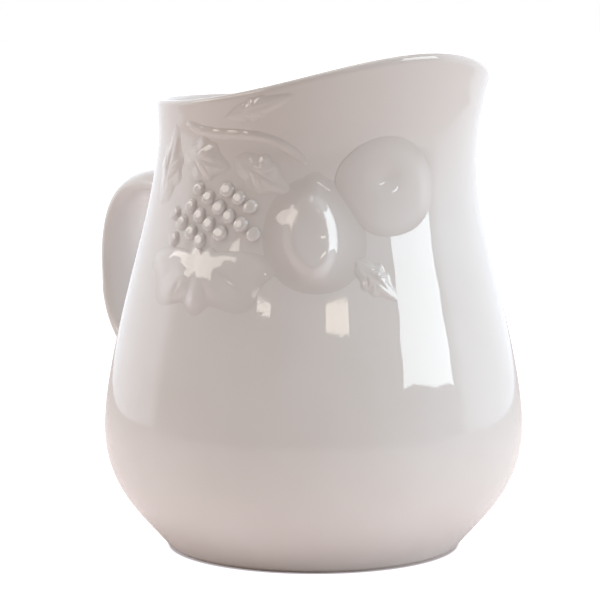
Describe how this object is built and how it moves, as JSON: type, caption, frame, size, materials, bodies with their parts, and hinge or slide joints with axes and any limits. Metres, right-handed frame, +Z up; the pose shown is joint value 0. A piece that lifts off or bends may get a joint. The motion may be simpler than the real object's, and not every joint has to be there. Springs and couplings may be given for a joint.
{
  "type": "ceramic pitcher",
  "caption": "Glazed ceramic pitcher with a round belly, broad pouring lip, strap handle and bands of applied fruit and leaves, for serving milk or water.",
  "frame": {"origin": "centre of the foot, on the plane that the pitcher stands on", "axes": "+Z up along the body's axis, +X from the axis towards the pouring lip, so the handle is on -X"},
  "size_m": [0.1799, 0.1354, 0.16],
  "materials": {
    "white_glaze": "glossy clear glaze over a white body, bare and matt only on the foot ring",
    "relief_glaze": "the same glossy glaze, pooled a little in the hollows of the relief"
  },
  "bodies": {
    "root": {"body": "white_glaze", "handle": "white_glaze", "upper_root_fillet": "white_glaze", "lower_root_fillet": "white_glaze", "right_plum": "relief_glaze", "right_apple": "relief_glaze", "right_grapes": "relief_glaze", "right_vine_leaf": "relief_glaze", "right_rear_leaf": "relief_glaze", "right_crown_leaf": "relief_glaze", "right_upper_leaf": "relief_glaze", "right_middle_leaf": "relief_glaze", "right_tip_leaf": "relief_glaze", "right_stem": "relief_glaze", "left_plum": "relief_glaze", "left_apple": "relief_glaze", "left_grapes": "relief_glaze", "left_vine_leaf": "relief_glaze", "left_rear_leaf": "relief_glaze", "left_crown_leaf": "relief_glaze", "left_upper_leaf": "relief_glaze", "left_middle_leaf": "relief_glaze", "left_tip_leaf": "relief_glaze", "left_stem": "relief_glaze"}
  },
  "joints": []
}
